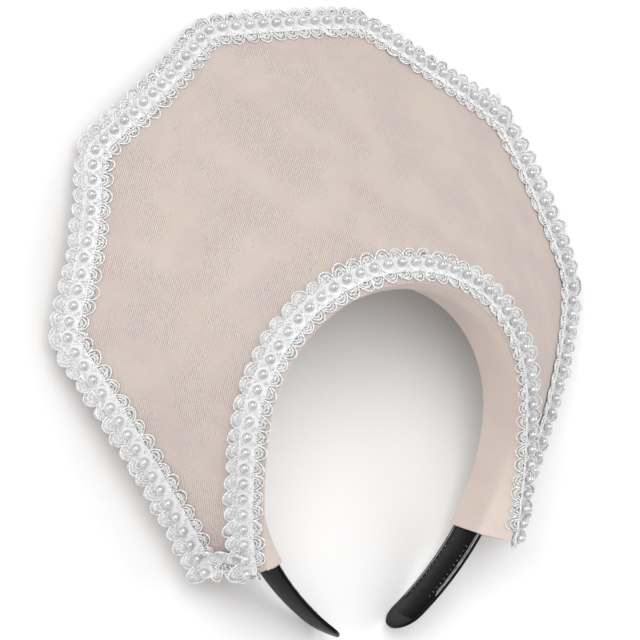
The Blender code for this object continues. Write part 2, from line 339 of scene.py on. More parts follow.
class FabricSettings(bpy.types.PropertyGroup):
    colour: FloatVectorProperty(
        name="Cream", description="Colour of the cover fabric", subtype="COLOR",
        size=3, default=(0.592, 0.512, 0.460), min=0.0, max=1.0)
    blotch: FloatVectorProperty(
        name="Pink blotch", description="Colour that the fabric drifts to in wide patches",
        subtype="COLOR", size=3, default=(0.550, 0.468, 0.434), min=0.0, max=1.0)
    rib_pitch: FloatProperty(
        name="Rib pitch", description="Distance from one rib of the twill to the next",
        default=0.76 * MM, unit="LENGTH")
    rib_angle: FloatProperty(
        name="Rib angle", description="Slope of the ribs on the flat board",
        default=math.radians(56.0), subtype="ANGLE")
    rib_depth: FloatProperty(
        name="Rib depth", description="Height of the ribs in the bump",
        default=0.06 * MM, unit="LENGTH")


class BraidSettings(bpy.types.PropertyGroup):
    pearl_radius: FloatProperty(
        name="Pearl radius", description="Radius of a pearl", default=1.84 * MM, unit="LENGTH")
    pearl_height: FloatProperty(
        name="Pearl height", description="Height of the pearls' middles over the board",
        default=3.0 * MM, unit="LENGTH")
    tape_half: FloatProperty(
        name="Tape half width", description="Half the width of the white middle tape",
        default=3.2 * MM, unit="LENGTH")
    loop_reach: FloatProperty(
        name="Loop reach", description="Distance from the braid's middle to the tip of a loop",
        default=7.4 * MM, unit="LENGTH")
    cord_radius: FloatProperty(
        name="Cord radius", description="Radius of the cord that makes the loops",
        default=0.30 * MM, unit="LENGTH")
    shake: FloatProperty(
        name="Shake", description="How uneven the loops are", default=0.14, min=0.0, max=0.5)
    seed: IntProperty(name="Seed", description="Seed of the unevenness", default=7)


class StageSettings(bpy.types.PropertyGroup):
    azimuth: FloatProperty(
        name="Azimuth", description="Camera's turn round the crown as worn",
        default=math.radians(-32.60), subtype="ANGLE")
    elevation: FloatProperty(
        name="Elevation", description="Camera's height over the crown as worn",
        default=math.radians(13.50), subtype="ANGLE")
    roll: FloatProperty(
        name="Roll", description="Camera's roll", default=math.radians(-3.00), subtype="ANGLE")
    distance: FloatProperty(
        name="Distance", description="Camera to the arch's top pearl", default=1.5281, unit="LENGTH")
    scale: FloatProperty(
        name="Picture scale", description="Pixels to a metre at the arch's top pearl",
        default=2635.3)
    top_pearl: FloatVectorProperty(
        name="Top pearl", description="Where the arch's top shows in the picture, in pixels",
        size=2, default=(399.29, 266.16))
    floor_colour: FloatVectorProperty(
        name="Floor", description="Colour of the floor", subtype="COLOR", size=3,
        default=(0.97, 0.97, 0.97), min=0.0, max=1.0)


# Side of the picture in pixels, and width of the camera's sensor in millimetres
PICTURE = 640
SENSOR = 36.0


def piece_from(name, bm, material, smooth=40.0):
    """One named object from a bmesh, with its finish and smooth shading."""
    mesh = bpy.data.meshes.new(name)
    bm.to_mesh(mesh)
    bm.free()
    mesh.materials.append(material)
    mesh.shade_smooth()
    mesh.set_sharp_from_angle(angle=math.radians(smooth))
    piece = bpy.data.objects.new(name, mesh)
    bpy.context.scene.collection.objects.link(piece)
    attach(piece, "root")
    return piece


def shaped_grid(columns, rows, place, flat=None):
    """A grid moved to place(a, b), where a and b run from 0 to 1, with flat(a, b) as its UVs."""
    bm = bmesh.new()
    bmesh.ops.create_grid(bm, x_segments=columns, y_segments=rows, size=1.0)
    ab = np.array([(vert.co.x, vert.co.y) for vert in bm.verts]) / 2 + 0.5
    spots = place(ab[:, 0], ab[:, 1])
    if flat is not None:
        layer = bm.loops.layers.uv.new("flat")
        uv = flat(ab[:, 0], ab[:, 1])
        bm.verts.index_update()
        for face in bm.faces:
            for loop in face.loops:
                loop[layer].uv = uv[loop.vert.index]
    for vert, spot in zip(bm.verts, spots):
        vert.co = spot
    return bm


def face_out(bm):
    """Turns a closed solid's faces outwards."""
    bmesh.ops.recalc_face_normals(bm, faces=bm.faces)
    if bm.calc_volume(signed=True) < 0:
        bmesh.ops.reverse_faces(bm, faces=bm.faces)


def face_towards(bm, way, count=None):
    """Turns a sheet's faces to the side of a direction, as its first faces, or all, show it."""
    bmesh.ops.recalc_face_normals(bm, faces=bm.faces)
    if sum(face.normal.dot(way) * face.calc_area() for face in list(bm.faces)[:count]) < 0:
        bmesh.ops.reverse_faces(bm, faces=bm.faces)


def close_up(bm):
    """Merges the seams of a rolled up grid, fills its ends and turns its faces out."""
    bmesh.ops.remove_doubles(bm, verts=bm.verts, dist=SEAM)
    holes = [edge for edge in bm.edges if edge.is_boundary]
    if holes:
        bmesh.ops.holes_fill(bm, edges=holes, sides=0)
    face_out(bm)


def thicken(piece, thickness, even=False):
    """Gives a sheet its thickness, behind the side that its faces show."""
    thick = piece.modifiers.new("thickness", "SOLIDIFY")
    thick.thickness = thickness
    thick.offset = -1.0
    thick.use_even_offset = even


def rounded(points, radii, steps):
    """Closed sections with each corner cut round in steps. points is (sections, corners, 3)."""
    before = np.roll(points, 1, axis=1)
    after = np.roll(points, -1, axis=1)
    way_in = (before - points) / np.linalg.norm(before - points, axis=2)[..., None]
    way_out = (after - points) / np.linalg.norm(after - points, axis=2)[..., None]
    radii = np.asarray(radii)[None, :, None]
    start, end = points + way_in * radii, points + way_out * radii
    rows = []
    for part in np.linspace(0.0, 1.0, steps + 1):
        rows.append(start * (1 - part) ** 2 + points * 2 * part * (1 - part) + end * part ** 2)
    stacked = np.stack(rows, axis=2)
    return stacked.reshape(points.shape[0], -1, 3)


def tube(sections):
    """An open tube through closed sections: a grid rolled up."""
    count, corners = sections.shape[:2]
    ring = np.concatenate([sections, sections[:, :1]], axis=1)

    def place(a, b):
        return ring[np.rint(a * (count - 1)).astype(int), np.rint(b * corners).astype(int)]

    bm = shaped_grid(count - 1, corners, place)
    bmesh.ops.remove_doubles(bm, verts=bm.verts, dist=SEAM)
    return bm


def empty_cords(name, radius, resolution=1):
    """A curve for round cords with closed ends."""
    curve = bpy.data.curves.new(name, "CURVE")
    curve.dimensions = "3D"
    curve.bevel_depth = radius
    curve.bevel_resolution = resolution
    curve.use_fill_caps = True
    return curve


def add_cord(curve, places, size=1.0, swell=0.0):
    """One cord through the places, thick and thin by turns where it swells."""
    line = curve.splines.new("POLY")
    line.points.add(len(places) - 1)
    line.points.foreach_set("co", np.append(places, np.ones((len(places), 1)), axis=1).ravel())
    line.points.foreach_set("radius", size * (1 + swell * (-1.0) ** np.arange(len(places))))


def cords_of(curve, finish):
    """The cords of a curve as one closed piece."""
    maker = bpy.data.objects.new(curve.name, curve)
    bpy.context.scene.collection.objects.link(maker)
    bpy.context.view_layer.update()
    graph = bpy.context.evaluated_depsgraph_get()
    mesh = bpy.data.meshes.new_from_object(maker.evaluated_get(graph))
    bpy.data.objects.remove(maker)
    bm = bmesh.new()
    bm.from_mesh(mesh)
    bmesh.ops.remove_doubles(bm, verts=bm.verts, dist=SEAM / 2)
    bpy.data.meshes.remove(mesh)
    return piece_from(curve.name, bm, finish, 70.0)


def ripple(points, size, seed, depth, waves=6):
    """Slow unevenness of a surface, the same each run."""
    dice = random.Random(seed)
    total = np.zeros(len(points))
    for _ in range(waves):
        way = Vector((dice.gauss(0, 1), dice.gauss(0, 1), dice.gauss(0, 1))).normalized()
        wave = math.tau / (size * dice.uniform(0.6, 1.6))
        total += np.sin(points @ np.array(way) * wave + dice.uniform(0, math.tau))
    return total * depth / waves


class Nodes:
    """Short ways to lay out a material's nodes."""

    def __init__(self, name):
        self.material = bpy.data.materials.new(name)
        self.material.use_nodes = True
        self.tree = self.material.node_tree
        self.shader = self.tree.nodes["Principled BSDF"]

    def add(self, kind, **settings):
        node = self.tree.nodes.new(kind)
        for key, value in settings.items():
            setattr(node, key, value)
        return node

    def give(self, socket, value):
        """Gives a socket a number, a colour or another node's output."""
        if isinstance(value, bpy.types.NodeSocket):
            self.tree.links.new(value, socket)
        elif isinstance(value, tuple):
            socket.default_value = (*value, 1.0)
        else:
            socket.default_value = value

    def set(self, **values):
        """Gives the shader's own sockets their values, with _ for a space."""
        for key, value in values.items():
            self.give(self.shader.inputs[key.replace("_", " ")], value)

    def mapped(self, vector, scale, turn=0.0):
        """Coordinates scaled and turned about Z."""
        mapping = self.add("ShaderNodeMapping", vector_type="POINT")
        mapping.inputs["Scale"].default_value = scale
        mapping.inputs["Rotation"].default_value = (0.0, 0.0, turn)
        self.give(mapping.inputs["Vector"], vector)
        return mapping.outputs["Vector"]

    def coordinates(self, turn=0.0, uv=False):
        """Object or UV coordinates in millimetres, turned about Z."""
        source = self.add("ShaderNodeUVMap", uv_map="flat") if uv else self.add("ShaderNodeTexCoord")
        return self.mapped(source.outputs["UV" if uv else "Object"], (1 / MM, 1 / MM, 1 / MM), turn)

    def part_of(self, vector, axis):
        """One of a vector's three numbers."""
        node = self.add("ShaderNodeSeparateXYZ")
        self.give(node.inputs["Vector"], vector)
        return node.outputs[axis]

    def ribs(self, vector, pitch, waver, detail=2.0, detail_scale=1.0):
        """Wavering bands along the vector's Y, at a pitch across them."""
        node = self.add("ShaderNodeTexWave", wave_type="BANDS", bands_direction="X")
        # At a scale of 1 the bands are 2 pi / 20 apart
        node.inputs["Scale"].default_value = math.tau / 20 / pitch
        node.inputs["Distortion"].default_value = waver
        node.inputs["Detail"].default_value = detail
        node.inputs["Detail Scale"].default_value = detail_scale
        self.give(node.inputs["Vector"], vector)
        return node.outputs["Fac"]

    def noise(self, vector, scale, detail=2.0, roughness=0.5):
        node = self.add("ShaderNodeTexNoise")
        node.inputs["Scale"].default_value = scale
        node.inputs["Detail"].default_value = detail
        node.inputs["Roughness"].default_value = roughness
        self.give(node.inputs["Vector"], vector)
        return node.outputs["Fac"]

    def ramp(self, value, low, high, start=0.0, end=1.0):
        """value from low..high to start..end, eased at both."""
        node = self.add("ShaderNodeMapRange", interpolation_type="SMOOTHSTEP")
        for socket, number in (("From Min", low), ("From Max", high), ("To Min", start), ("To Max", end)):
            node.inputs[socket].default_value = number
        self.give(node.inputs["Value"], value)
        return node.outputs["Result"]

    def times(self, first, second):
        """One value times another value or number."""
        node = self.add("ShaderNodeMath", operation="MULTIPLY")
        self.give(node.inputs[0], first)
        self.give(node.inputs[1], second)
        return node.outputs["Value"]

    def mix(self, factor, first, second):
        """A colour between the first and the second."""
        node = self.add("ShaderNodeMix", data_type="RGBA")
        # A Mix node's sockets of one name differ by their place: 0, 6 and 7 are the colour's own
        for socket, value in ((node.inputs[0], factor), (node.inputs[6], first), (node.inputs[7], second)):
            self.give(socket, value)
        return node.outputs[2]

    def bump(self, height, distance, strength):
        """Raises the shader's surface by a height pattern."""
        node = self.add("ShaderNodeBump")
        node.inputs["Strength"].default_value = strength
        node.inputs["Distance"].default_value = distance
        self.give(node.inputs["Height"], height)
        self.give(self.shader.inputs["Normal"], node.outputs["Normal"])


def scaled(colour, amount):
    """A colour made lighter or darker."""
    return tuple(channel * amount for channel in colour)


def cover_fabric(settings):
    """Cream twill: broken slanting ribs, painted darker in their valleys as painted shade and lighter on
    their tops as a painted highlight, clearer to one side, wide soft blotches and dark specks.
    """
    made = Nodes("cover_fabric")
    cream, pink = tuple(settings.colour), tuple(settings.blotch)
    plain = made.coordinates(uv=True)
    turned = made.coordinates(uv=True, turn=math.pi / 2 - settings.rib_angle)
    # How clearly the ribs' painted shade and highlight show: less towards one side, in patches, and in
    # dashes along each rib
    faded = made.ramp(made.part_of(plain, "X"), -20.0, 70.0, 1.0, 0.25)
    patches = made.ramp(made.noise(plain, 0.05), 0.42, 0.58, 0.20, 1.0)
    clear = made.times(patches, faded)
    dashes = made.ramp(made.noise(made.mapped(turned, (1.0, 0.60, 1.0)), 1.5, 2.0, 0.7), 0.36, 0.60)
    broken = made.times(dashes, clear)
    ribs = made.ribs(turned, settings.rib_pitch / MM, 0.9, 1.0, 0.7)
    raised = made.times(ribs, broken)
    valley_shade = made.times(made.ramp(ribs, 0.58, 0.12), broken)
    # The ground's slow drifts of tone
    wide = made.ramp(made.noise(plain, 0.045, 3.0, 0.55), 0.36, 0.64)
    shade = made.mix(wide, cream, pink)
    warm = made.ramp(made.noise(made.mapped(plain, (1.0, 1.3, 1.0)), 0.030, 3.0), 0.52, 0.70, 0.0, 0.6)
    shade = made.mix(warm, shade, (cream[0], cream[1] * 0.99, cream[2] * 0.93))
    cool = made.ramp(made.noise(plain, 0.14), 0.46, 0.66, 0.0, 0.5)
    shade = made.mix(made.times(cool, clear), shade, (0.53, 0.47, 0.465))
    # The ribs as painted shade in their valleys and a painted highlight on their tops, with grains and a
    # few flecks of dark thread
    dark = scaled(pink, 0.50)
    shade = made.mix(made.times(valley_shade, 0.85), shade, dark)
    shade = made.mix(made.times(raised, 0.90), shade, scaled(cream, 1.20))
    grain = made.ramp(made.noise(plain, 1.9, 1.0), 0.60, 0.74)
    shade = made.mix(made.times(made.times(grain, clear), 0.35), shade, dark)
    cells = made.add("ShaderNodeTexVoronoi")
    cells.inputs["Scale"].default_value = 0.42
    made.give(cells.inputs["Vector"], plain)
    fleck = made.ramp(cells.outputs["Distance"], 0.16, 0.08)
    where = made.ramp(made.noise(plain, 0.03, 1.0), 0.56, 0.66)
    shade = made.mix(made.times(made.times(fleck, where), 0.55), shade, scaled(pink, 0.35))
    made.set(Base_Color=shade, Roughness=0.75, Sheen_Weight=0.10, Sheen_Roughness=0.4,
             Specular_IOR_Level=0.3)
    made.bump(raised, settings.rib_depth, 0.8)
    return made.material


def sleeve_cloth(settings):
    """The same cream cloth pulled smooth, with only soft drifts of tone, painted lighter than the board's
    cloth: painted light that makes up for the shade the sleeve sits in.
    """
    made = Nodes("sleeve_cloth")
    plain = made.coordinates()
    wide = made.ramp(made.noise(plain, 0.05), 0.34, 0.66)
    # Colours raised by about a third over the board's: painted light for the sleeve's shade
    shade = made.mix(wide, scaled(settings.colour, 1.28), scaled(settings.blotch, 1.32))
    threads = made.noise(plain, 2.2, 1.0)
    shade = made.mix(made.ramp(threads, 0.35, 0.65, 0.0, 0.10), shade, scaled(settings.blotch, 0.6))
    made.set(Base_Color=shade, Roughness=0.8, Sheen_Weight=0.08, Sheen_Roughness=0.5,
             Specular_IOR_Level=0.25)
    made.bump(threads, 0.03 * MM, 0.4)
    return made.material


def silver_cord():
    """White and silver thread, speckled light and grey."""
    made = Nodes("silver_cord")
    plain = made.coordinates()
    grain = made.ramp(made.noise(plain, 1.4, 2.0, 0.7), 0.36, 0.60)
    shade = made.mix(grain, (0.58, 0.58, 0.59), (1.0, 1.0, 0.99))
    made.set(Base_Color=shade, Roughness=0.38, Metallic=0.15, Sheen_Weight=0.2)
    made.bump(made.noise(plain, 4.0, 1.0), 0.08 * MM, 0.7)
    return made.material


def net_ground():
    """The grey thread that fills the loops: where it lies, speckled with dark flecks that partly paint the
    shade in the gaps between the cords; where it stands up, lighter and even.
    """
    made = Nodes("net_ground")
    plain = made.coordinates()
    grain = made.ramp(made.noise(plain, 1.3, 2.0, 0.7), 0.40, 0.60)
    stands = made.ramp(made.part_of(made.coordinates(uv=True), "Y"), 0.3, 0.8)
    # Where it lies, the darkest speckles are partly painted shade between the cords
    lying = made.mix(grain, (0.22, 0.22, 0.23), (0.84, 0.84, 0.84))
    raised = made.mix(grain, (0.58, 0.58, 0.59), (0.80, 0.80, 0.80))
    made.set(Base_Color=made.mix(stands, lying, raised), Roughness=0.55, Metallic=0.1)
    made.bump(made.noise(plain, 3.0, 1.0), 0.1 * MM, 0.8)
    return made.material


def satin_tape():
    """Bright white satin with fine ribs across, painted darker in the grooves between them: painted shade.
    """
    made = Nodes("satin_tape")
    ribs = made.ribs(made.coordinates(uv=True), 0.5, 0.4)
    # Greyer in the rib grooves: painted shade
    shade = made.mix(made.ramp(ribs, 0.1, 0.6), (0.80, 0.80, 0.83), (0.96, 0.96, 0.97))
    made.set(Base_Color=shade, Roughness=0.35, Sheen_Weight=0.2, Sheen_Roughness=0.3)
    made.bump(ribs, 0.1 * MM, 0.7)
    return made.material


def pearl_shell():
    """White pearl with the half metal gloss of its coat."""
    made = Nodes("pearl_shell")
    drift = made.ramp(made.noise(made.coordinates(), 0.12, 1.0), 0.4, 0.6)
    shade = made.mix(drift, (0.58, 0.58, 0.585), (0.68, 0.68, 0.68))
    sheen = made.add("ShaderNodeLayerWeight")
    sheen.inputs["Blend"].default_value = 0.45
    gloss = made.ramp(sheen.outputs["Facing"], 0.20, 0.75, 0.50, 0.95)
    made.set(Base_Color=shade, Metallic=gloss, Roughness=0.22, Coat_Weight=1.0, Coat_Roughness=0.06,
             Coat_IOR=1.8)
    return made.material


def black_plastic():
    """Glossy black plastic with a slight unevenness from the mould."""
    made = Nodes("black_plastic")
    plain = made.coordinates()
    drift = made.ramp(made.noise(plain, 0.08), 0.35, 0.65)
    shade = made.mix(drift, (0.003, 0.003, 0.0035), (0.006, 0.006, 0.0065))
    gloss = made.ramp(made.noise(plain, 0.3), 0.3, 0.7, 0.30, 0.38)
    made.set(Base_Color=shade, Roughness=gloss, Specular_IOR_Level=0.09)
    made.bump(made.noise(plain, 0.4, 1.0), 0.02 * MM, 0.5)
    return made.material


def painted_highlight_plastic():
    """Black plastic's rims and teeth painted grey: a painted highlight for the light that their edges
    catch.
    """
    made = Nodes("painted_highlight_plastic")
    # The two greys are the painted highlight, uneven in patches
    highlight_tone = made.ramp(made.noise(made.coordinates(), 0.5), 0.3, 0.7)
    shade = made.mix(highlight_tone, (0.20, 0.20, 0.205), (0.46, 0.46, 0.47))
    made.set(Base_Color=shade, Roughness=0.30, Specular_IOR_Level=0.5)
    return made.material


def floor_finish(colour):
    """Matt white ground with the faintest drift of tone."""
    made = Nodes("floor")
    grain = made.ramp(made.noise(made.coordinates(), 0.02), 0.3, 0.7)
    made.set(Base_Color=made.mix(grain, scaled(colour, 0.99), tuple(colour)), Roughness=0.9,
             Specular_IOR_Level=0.1)
    return made.material


class CROWN_OT_board(bpy.types.Operator):
    """Make the covered board"""
    bl_idname = "crown.board"
    bl_label = "Covered board"
    bl_options = {"REGISTER", "UNDO"}

    columns = 154
    rows = 30
    edge_round = 0.7 * MM
    # The cloth's waves: depth, length and the seed of their ways
    wave_depth = 0.25 * MM
    wave_length = 70.0 * MM
    wave_seed = 3
    # Share of the foot's cut that comes in inside the arch's braid, the rest between the braids
    cut_inside = 2 / 3

    def execute(self, context):
        outline = outline_path()
        edge = outline + across_path(outline) * BOARD_MARGIN
        reached_s, reached_t = BOARD.along(edge[len(edge) // 2:])

        def across(a, b):
            """The s and t of the board's points, with the feet cut level."""
            s = (2 * a - 1) * ARCH_HALF
            outer = np.interp(np.abs(s), reached_s, reached_t)
            t = -BOARD_INSIDE + (outer + BOARD_INSIDE) * b
            inside = np.clip(-t / BOARD_INSIDE, 0.0, 1.0)
            between = np.clip(1 - 2 * t / outer, 0.0, 1.0)
            cut = inside * self.cut_inside + between * (1 - self.cut_inside)
            return s * (1 - cut * FOOT_CUT / ARCH_HALF), t

        def place(a, b):
            s, t = across(a, b)
            calm = np.minimum(1.0, 4 * np.minimum(b, 1 - b))
            waves = ripple(BOARD.solid(s, t, 0.0), self.wave_length, self.wave_seed, self.wave_depth)
            return lay(BOARD.solid(s, t, waves * calm))

        bm = shaped_grid(self.columns, self.rows, place, lambda a, b: BOARD.flat(*across(a, b)))
        worn = lay(np.array([[0.0, -1.0, 1.0], [0.0, 0.0, 0.0]]))
        face_towards(bm, Vector(worn[0] - worn[1]))
        piece = piece_from("board_cover", bm, cover_fabric(context.scene.crown_fabric))
        thicken(piece, BOARD_THICK, even=True)
        bevel = piece.modifiers.new("rolled edge", "BEVEL")
        bevel.width = self.edge_round
        bevel.segments = 3
        bevel.limit_method = "ANGLE"
        bevel.angle_limit = math.radians(50.0)
        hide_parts("board")
        return {"FINISHED"}


class CROWN_OT_sleeve(bpy.types.Operator):
    """Make the fabric sleeve round the headband, with its fold behind the board"""
    bl_idname = "crown.sleeve"
    bl_label = "Fabric sleeve"
    bl_options = {"REGISTER", "UNDO"}

    stations = 140
    # The fold's wall stands this far off the board's inner edge and its back
    lip = 0.25 * MM
    lip_from = 0.7 * MM
    # How far each mouth reaches past the sleeve's length, at the board, in front and behind
    mouths = {-1.0: (0.3 * MM, 3.9 * MM, 3.6 * MM), 1.0: (2.6 * MM, 2.9 * MM, 2.4 * MM)}
    # Across the wall: shares of its half width, each with its share of the mouth's corner cut
    corner = 1.2 * MM
    outside = ((-1.0, 0.0), (0.0, 0.0), (0.6, 0.1), (1.0, 1.0))
    inside = ((1.0, 1.0), (0.88, 0.4), (0.7, 0.1), (0.0, 0.0), (-1.0, 0.0))
    # Share of the skin by which its rear corners lie past the hollow's
    bulge = 0.4
    # Rounding of the shell's corners in the order of its section, and of the hollow's, in mm
    shell_rounds = (0.12, 0.12, 0.1, 0.9, 1.6, 0.5, 0.5, 0.6, 0.4, 0.5, 0.3, 0.5, 0.5, 1.8)
    hollow_round = 0.15

    def execute(self, context):
        run = np.linspace(-SLEEVE_HALF, SLEEVE_HALF, self.stations)
        near, front, rear = (np.where(run < 0, *pair) for pair in zip(*self.mouths.values()))
        s = run * (SLEEVE_FRONT + near) / SLEEVE_HALF
        outer = BAND_THICK / 2 + SLEEVE_PLAY
        inner = BAND_THICK / 2 + BAND_RIM + SLEEVE_PLAY
        end = BAND_WIDTH / 2 + SLEEVE_PLAY
        skin = SLEEVE_WALL
        edge = -BOARD_INSIDE

        def wall(out, back, part):
            """Points of the wall; its mouths slant, and a part of the corner is cut off them."""
            longer = front + (rear - front) * (back / end + 1) / 2 - self.corner * part
            return BAND.place(run * (1 + longer / SLEEVE_HALF), out, back)

        def layer(out, stations, past):
            """Points along one side of the wall, whose rear corner lies past the hollow's."""
            return [wall(out, end * share + (past if share == 1.0 else 0.0), part)
                    for share, part in stations]

        shell = np.stack([
            BOARD.solid(s, edge - self.lip, -self.lip_from),
            BOARD.solid(s, edge + self.lip, -self.lip_from),
            BOARD.solid(s, edge + self.lip, -BOARD_THICK - self.lip),
            BOARD.solid(s, FLANGE_OUTER, -BOARD_THICK - self.lip),
            *layer(outer + skin, self.outside, skin * self.bulge),
            wall(0.0, end + skin, 1.0),
            *layer(-inner - skin, self.inside, skin * self.bulge),
        ], axis=1)
        hollow = np.stack([*layer(outer, self.outside, 0.0), *layer(-inner, self.inside, 0.0)], axis=1)
        hollow_rounds = np.full(hollow.shape[1], self.hollow_round)
        bm = tube(lay(rounded(shell, np.array(self.shell_rounds) * MM, 3)))
        self.put_in(bm, tube(lay(rounded(hollow, hollow_rounds * MM, 1))))
        for side in (-1.0, 1.0):
            mouth = [line for line in bm.edges if line.is_boundary and line.verts[0].co.x * side > 0]
            bmesh.ops.bridge_loops(bm, edges=mouth)
        face_out(bm)
        piece = piece_from("sleeve_fabric", bm, sleeve_cloth(context.scene.crown_fabric))
        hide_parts("sleeve")
        return {"FINISHED"}

    def put_in(self, bm, part):
        """Puts the part into the bmesh and frees it."""
        mesh = bpy.data.meshes.new("sleeve_hollow")
        part.to_mesh(mesh)
        part.free()
        bm.from_mesh(mesh)
        bpy.data.meshes.remove(mesh)


class CROWN_OT_headband(bpy.types.Operator):
    """Make the plastic headband with its rims and teeth"""
    bl_idname = "crown.headband"
    bl_label = "Headband"
    bl_options = {"REGISTER", "UNDO"}

    stations = 240
    # The rounded tip: length, number of stations, least half width and loss of thickness
    tip = 9.4 * MM
    tip_stations = 12
    tip_half = 0.25 * MM
    tip_thinner = 0.35
    end_gap = 0.02 * MM
    # The outer face's edges are cut by an inset and a drop, the inner face's by one round
    outer_inset = 0.35 * MM
    outer_drop = 0.4 * MM
    edge_round = 0.4 * MM
    # How far the rims lie in from the front edge and from the back edge, and how they end
    rim_insets = {-1.0: (0.4 * MM, 1.35 * MM), 1.0: (1.5 * MM,)}
    rim_radius = 0.20 * MM
    rim_stop = 17.0 * MM
    rim_slant = 2.0 * MM
    rim_shorter = 1.5 * MM
    rim_in_sleeve = 6.0 * MM
    tooth_pitch = 2.25 * MM
    teeth = 12
    tooth_inset = 3.3 * MM
    tooth_radius = 0.22 * MM
    tooth_high = 0.55 * MM
    tooth_start = 1.0 * MM
    tooth_root = 0.1 * MM
    tooth_taper = 0.4

    def execute(self, context):
        full = BAND.length - self.end_gap
        straight = np.linspace(0.0, full - self.tip, self.stations // 2)
        angles = np.linspace(0.0, math.pi / 2, self.tip_stations)
        half_run = np.concatenate([straight[:-1], full - self.tip * (1 - np.sin(angles))])
        run = np.concatenate([-half_run[::-1][:-1], half_run])
        into = np.clip((np.abs(run) - (full - self.tip)) / self.tip, 0.0, 1.0)
        half = BAND_WIDTH / 2 - self.tip * (1 - np.sqrt(np.maximum(0.0, 1 - into ** 2)))
        half = np.maximum(half, self.tip_half)
        thick = BAND_THICK / 2 * (1 - self.tip_thinner * into ** 3)
        ledge = np.minimum(self.edge_round, half * 0.3)
        sections = np.stack([
            BAND.place(run, thick, -half + self.outer_inset),
            BAND.place(run, thick, half - self.outer_inset),
            BAND.place(run, thick - self.outer_drop, half),
            BAND.place(run, -thick + ledge, half),
            BAND.place(run, -thick, half - ledge),
            BAND.place(run, -thick, -half + ledge),
            BAND.place(run, -thick + ledge, -half),
            BAND.place(run, thick - self.outer_drop, -half),
        ], axis=1)
        strip = tube(lay(sections))
        close_up(strip)
        piece = piece_from("headband_strip", strip, black_plastic(), 50.0)
        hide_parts("headband")
        # Rims and teeth get a grey finish: a painted highlight on the black plastic
        worn = painted_highlight_plastic()
        self.make_rims(full, worn)
        self.make_teeth(full, worn)
        return {"FINISHED"}

    def make_rims(self, full, finish):
        """Fine raised lines along both edges of the inner face, from inside the sleeve to near the tips."""
        rims = empty_cords("headband_rims", self.rim_radius)
        start = SLEEVE_HALF - self.rim_in_sleeve
        for side in (-1.0, 1.0):
            for edge, insets in self.rim_insets.items():
                for number, inset in enumerate(insets):
                    stop = full - self.rim_stop + edge * self.rim_slant - number * self.rim_shorter
                    run = side * np.linspace(start, stop, 24)
                    add_cord(rims, lay(BAND.place(run, -BAND_THICK / 2, edge * (BAND_WIDTH / 2 - inset))))
        cords_of(rims, finish)

    def make_teeth(self, full, finish):
        """Two rows of small pegs on the inner face, near each tip."""
        bm = bmesh.new()
        inward = -BAND_THICK / 2
        for side in (-1.0, 1.0):
            for row in (-1.0, 1.0):
                for number in range(self.teeth):
                    run = side * (full - self.rim_stop - self.tooth_start - number * self.tooth_pitch)
                    back = row * (BAND_WIDTH / 2 - self.tooth_inset)
                    foot, tip = lay(np.stack([
                        BAND.place(run, inward + self.tooth_root, back),
                        BAND.place(run, inward - self.tooth_high, back)]))
                    way = Vector(tip - foot)
                    turn = way.to_track_quat("Z", "Y").to_matrix().to_4x4()
                    middle = Matrix.Translation(Vector((foot + tip) / 2))
                    bmesh.ops.create_cone(
                        bm, cap_ends=True, segments=8, radius1=self.tooth_radius,
                        radius2=self.tooth_radius * self.tooth_taper, depth=way.length,
                        matrix=middle @ turn)
        piece_from("headband_teeth", bm, finish)


# How far the tips of the outer loops stand off the board, by distance along the arch, in mm
LIFT = {0.0: 1.0, 30.0: 1.8, 44.0: 4.8, 100.0: 4.4, 125.0: 5.0, 154.0: 5.8}
# From this height, in mm, they count as fully standing
FULL_LIFT = 4.0

# Loops of one scallop: reach as a share of the braid's, width as a share of the pitch, points
LOOPS = ((1.00, 0.500, 12), (0.80, 0.350, 9), (0.62, 0.200, 7))


